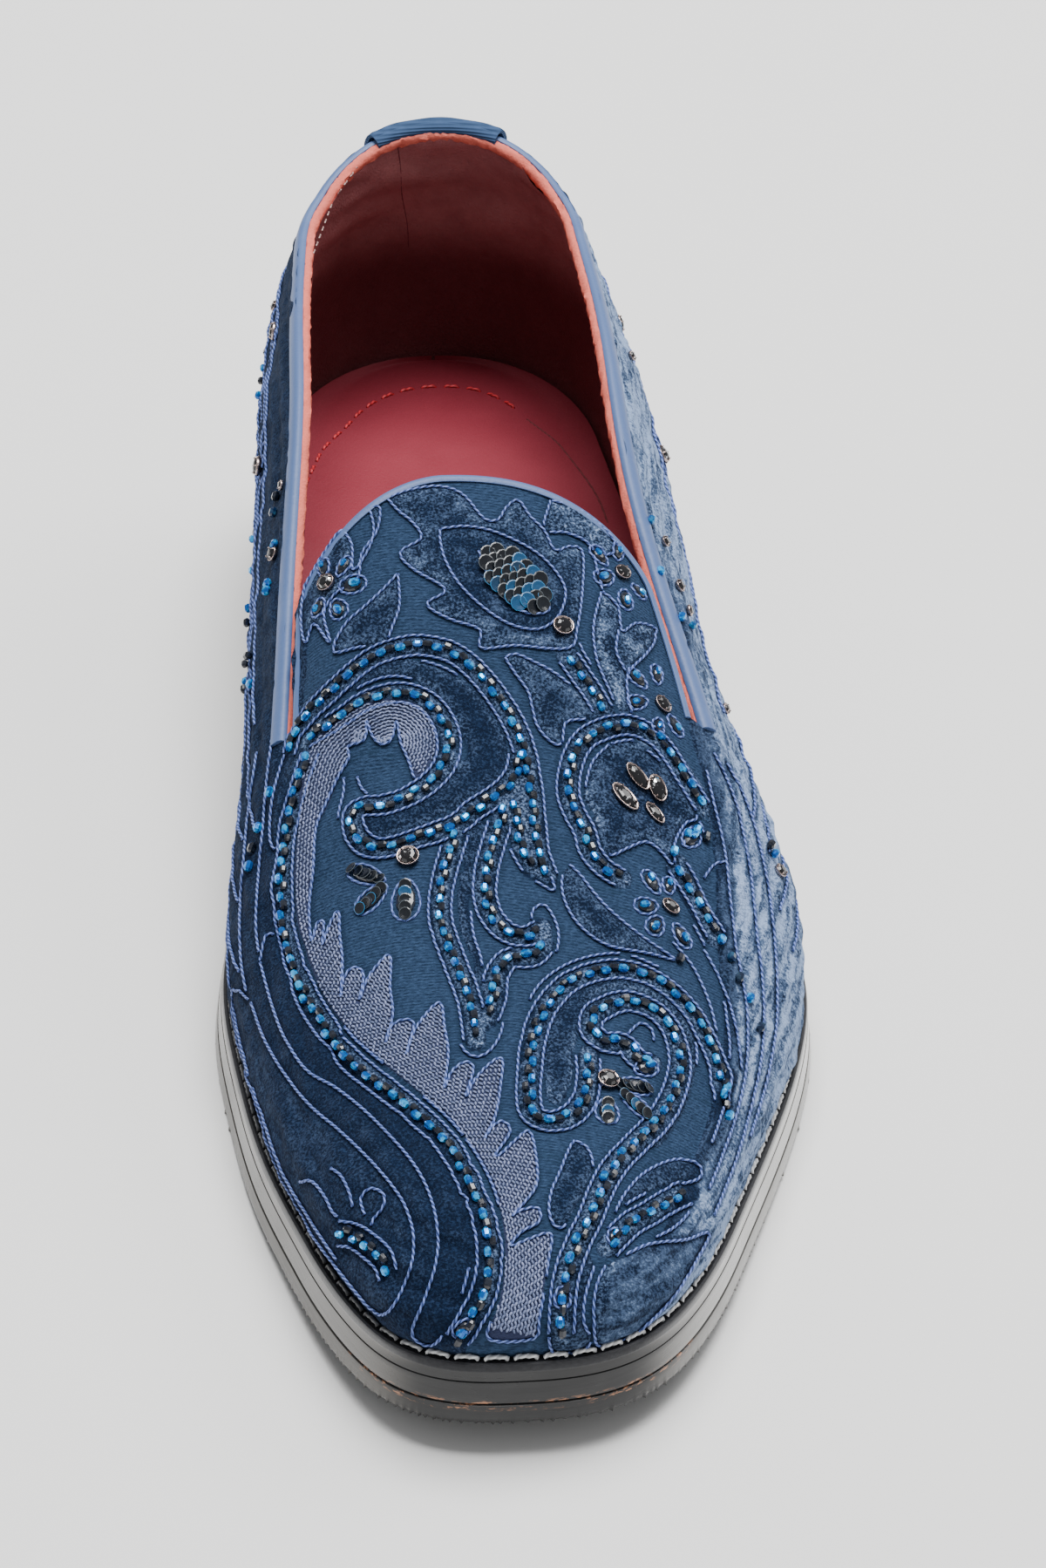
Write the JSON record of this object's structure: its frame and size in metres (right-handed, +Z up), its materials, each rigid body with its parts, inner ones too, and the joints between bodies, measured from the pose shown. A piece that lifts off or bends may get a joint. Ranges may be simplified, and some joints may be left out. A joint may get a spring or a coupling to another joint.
{
  "type": "loafer",
  "caption": "Slip-on dress loafer for the left foot: embroidered velvet upper with elastic slits beside the tongue, soft square toe, welted double sole and low heel.",
  "frame": {"origin": "on the floor, under the middle of the shoe's bounding box", "axes": "+Y along the shoe from toe to heel, +X towards the outer side of the left foot, +Z up"},
  "size_m": [0.1118, 0.306, 0.096],
  "materials": {
    "outsole_rubber": "satin black rubber",
    "sole_edge": "dressed glossy black edge",
    "welt_leather": "satin black, stitched",
    "heel_edge": "dressed glossy black edge",
    "heel_rubber": "matt black rubber",
    "insole_sock": "soft burgundy leather",
    "upper_velvet": "teal ribbed cloth with navy velvet and embroidery",
    "binding_leather": "smooth slate blue kid",
    "gore_elastic": "ribbed elastic",
    "tab_cloth": "teal ribbed cloth",
    "lining_leather": "soft burgundy lining",
    "cord": "twisted pale blue cord",
    "beads": "faceted blue glass",
    "stones": "cut dark crystal",
    "settings": "worn copper and silver claws",
    "thread": "waxed grey thread"
  },
  "bodies": {
    "root": {"outsole": "outsole_rubber", "midsole": "sole_edge", "welt": "welt_leather", "heel_stack": "heel_edge", "heel_top_piece": "heel_rubber", "insole": "insole_sock", "upper": "upper_velvet", "binding_collar": "binding_leather", "binding_tongue": "binding_leather", "gore_medial": "gore_elastic", "gore_lateral": "gore_elastic", "back_tab": "tab_cloth"}
  },
  "joints": []
}
